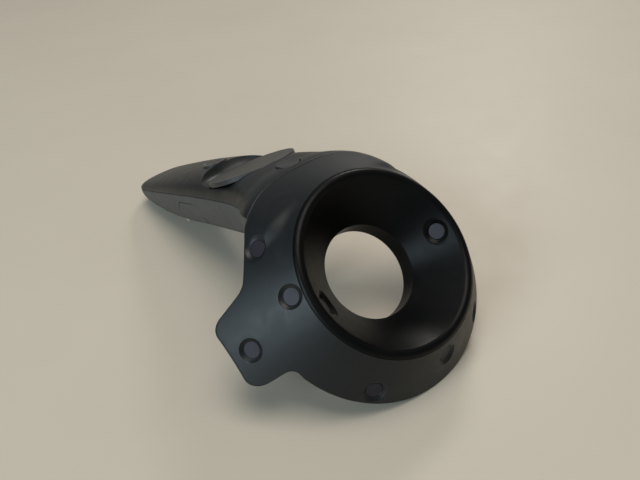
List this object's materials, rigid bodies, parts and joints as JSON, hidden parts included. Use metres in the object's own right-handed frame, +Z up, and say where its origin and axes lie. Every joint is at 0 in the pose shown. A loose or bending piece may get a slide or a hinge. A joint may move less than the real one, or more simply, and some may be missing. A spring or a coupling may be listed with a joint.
{
  "type": "vr motion controller",
  "caption": "Handheld motion controller: tilted tracking ring with a funnel hole and two swept wings on a tapering handle with a trackpad, push buttons, grip buttons and a pull trigger.",
  "frame": {"origin": "middle of the footprint, on the table it rests on", "axes": "+Y along the handle to the tail, ring at -Y; +Z up; X across, the object's middle plane is X = 0"},
  "size_m": [0.1204, 0.2204, 0.0702],
  "materials": {
    "shell_black": "fine satin moulding grain",
    "funnel_black": "semi-gloss",
    "handle_grey": "matte soft-touch",
    "button_black": "satin",
    "pad_grey": "matte, faintly worn",
    "window_dark": "smoked infrared window",
    "board_green": "solder mask",
    "steel": "plain",
    "frame_grey": "glass-filled moulding",
    "battery_foil": "foil wrap",
    "magnet_nickel": "nickel plate",
    "flex_amber": "polyimide film",
    "light_pipe": "frosted",
    "chip_black": "moulded package"
  },
  "bodies": {
    "controller": {"head_front_cover": "shell_black", "ring_funnel": "funnel_black", "throat_sleeve": "funnel_black", "head_back_cover": "shell_black", "front_sensor_windows": "window_dark", "funnel_sensor_windows": "window_dark", "back_sensor_windows": "window_dark", "sensor_ring_board": "board_green", "optical_sensors": "chip_black", "head_frame": "frame_grey", "sensor_flex_cable": "flex_amber", "handle_top_shell": "shell_black", "handle_bottom_shell": "handle_grey", "trackpad_carrier": "frame_grey", "trackpad_switch": "steel", "menu_switch": "steel", "system_switch": "steel", "status_light_pipe": "light_pipe", "grip_switches": "steel", "trigger_pin": "steel", "trigger_spring": "steel", "trigger_switch": "chip_black", "trigger_hall_sensor": "chip_black", "handle_chassis": "frame_grey", "main_board": "board_green", "battery_pack": "battery_foil", "haptic_motor": "steel", "usb_socket": "steel", "antenna_board": "board_green", "lanyard_anchor": "frame_grey", "handle_screws": "steel", "head_screws": "steel", "board_screws": "steel"},
    "trackpad": {"trackpad_disc": "pad_grey", "trackpad_sensor_board": "board_green"},
    "menu": {"menu_button": "button_black"},
    "system": {"system_button": "button_black"},
    "left_grip": {"left_grip_button": "handle_grey"},
    "right_grip": {"right_grip_button": "handle_grey"},
    "trigger_lever": {"trigger": "button_black", "trigger_magnet": "magnet_nickel"}
  },
  "joints": [
    {"name": "trackpad_press", "type": "slide", "parent": "controller", "child": "trackpad", "axis": [0, -0.4083, -0.9128], "range_m": [0, 0.0005], "stiffness_N_per_m": 2500, "springref_m": -0.00075},
    {"name": "menu_press", "type": "slide", "parent": "controller", "child": "menu", "axis": [0, -0.1994, -0.9799], "range_m": [0, 0.0006], "stiffness_N_per_m": 1500, "springref_m": -0.0009},
    {"name": "system_press", "type": "slide", "parent": "controller", "child": "system", "axis": [0, -0.3584, -0.9336], "range_m": [0, 0.0006], "stiffness_N_per_m": 1500, "springref_m": -0.0009},
    {"name": "left_grip_press", "type": "slide", "parent": "controller", "child": "left_grip", "axis": [1, 0, 0], "range_m": [0, 0.0008], "stiffness_N_per_m": 1500, "springref_m": -0.0012},
    {"name": "right_grip_press", "type": "slide", "parent": "controller", "child": "right_grip", "axis": [-1, 0, 0], "range_m": [0, 0.0008], "stiffness_N_per_m": 1500, "springref_m": -0.0012},
    {"name": "trigger_pull", "type": "hinge", "parent": "controller", "child": "trigger_lever", "pos_m": [0, -0.0235, 0.0365], "axis": [1, 0, 0], "range_deg": [0, 18], "stiffness_Nm_per_rad": 0.05, "springref_deg": -28.65}
  ]
}
